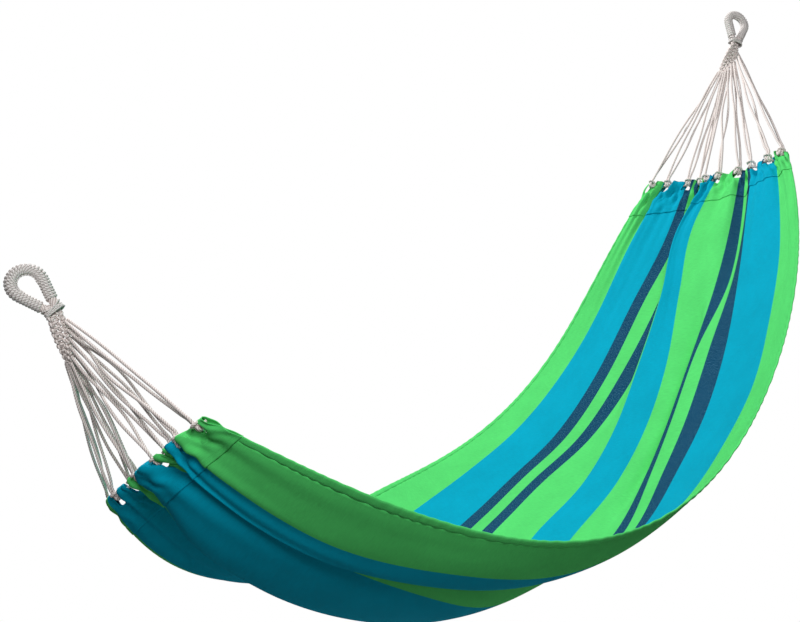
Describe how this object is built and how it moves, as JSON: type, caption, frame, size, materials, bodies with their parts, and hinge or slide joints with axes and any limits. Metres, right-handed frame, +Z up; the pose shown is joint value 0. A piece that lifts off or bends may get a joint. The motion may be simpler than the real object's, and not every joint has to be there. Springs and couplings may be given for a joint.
{
  "type": "fabric hammock",
  "caption": "Striped cotton hammock: a broad sling of woven cloth hung by a fan of rope cords and a whipped rope eye at each end.",
  "frame": {"origin": "the place inside the foot eye where the foot hook bears", "axes": "+Z up; +X along the ground from the foot end to the head end; -Y is the near side and +Y the far side"},
  "size_m": [1.9688, 1.0375, 1.3496],
  "materials": {
    "cloth": "striped plain-woven cotton in turquoise, navy and green",
    "hem": "turned and stitched hem of the same cotton",
    "cord": "twisted undyed cotton cord",
    "whipping": "tightly wound two-ply undyed cotton cord"
  },
  "bodies": {
    "foot_eye": {"foot_eye_core": "cord", "foot_eye_whipping": "whipping", "foot_neck_lashing": "whipping"},
    "sling": {"foot_woven_yoke": "cord", "foot_clew_cord_01": "cord", "foot_clew_cord_02": "cord", "foot_clew_cord_03": "cord", "foot_clew_cord_04": "cord", "foot_clew_cord_05": "cord", "foot_clew_cord_06": "cord", "foot_clew_cord_07": "cord", "foot_clew_cord_08": "cord", "foot_clew_cord_09": "cord", "foot_clew_cord_10": "cord", "foot_draw_cord": "cord", "foot_end_tunnel": "hem", "head_woven_yoke": "cord", "head_clew_cord_01": "cord", "head_clew_cord_02": "cord", "head_clew_cord_03": "cord", "head_clew_cord_04": "cord", "head_clew_cord_05": "cord", "head_clew_cord_06": "cord", "head_clew_cord_07": "cord", "head_clew_cord_08": "cord", "head_clew_cord_09": "cord", "head_clew_cord_10": "cord", "head_draw_cord": "cord", "head_end_tunnel": "hem", "bed_cloth": "cloth", "near_side_hem": "hem", "far_side_hem": "hem"},
    "head_eye": {"head_eye_core": "cord", "head_eye_whipping": "whipping", "head_neck_lashing": "whipping"}
  },
  "joints": [
    {"name": "swing", "type": "hinge", "parent": "foot_eye", "child": "sling", "pos_m": [0.0453, 0, -0.0623], "axis": [0.9518, 0, 0.3068], "range_deg": [-40, 40]},
    {"name": "head_eye_turn", "type": "hinge", "parent": "sling", "child": "head_eye", "pos_m": [1.8757, 0, 0.5277], "axis": [0.9518, 0, 0.3068], "range_deg": [-40, 40]}
  ],
  "couplings": [
    {"joint": "head_eye_turn", "follows": "swing", "ratio": -1}
  ]
}
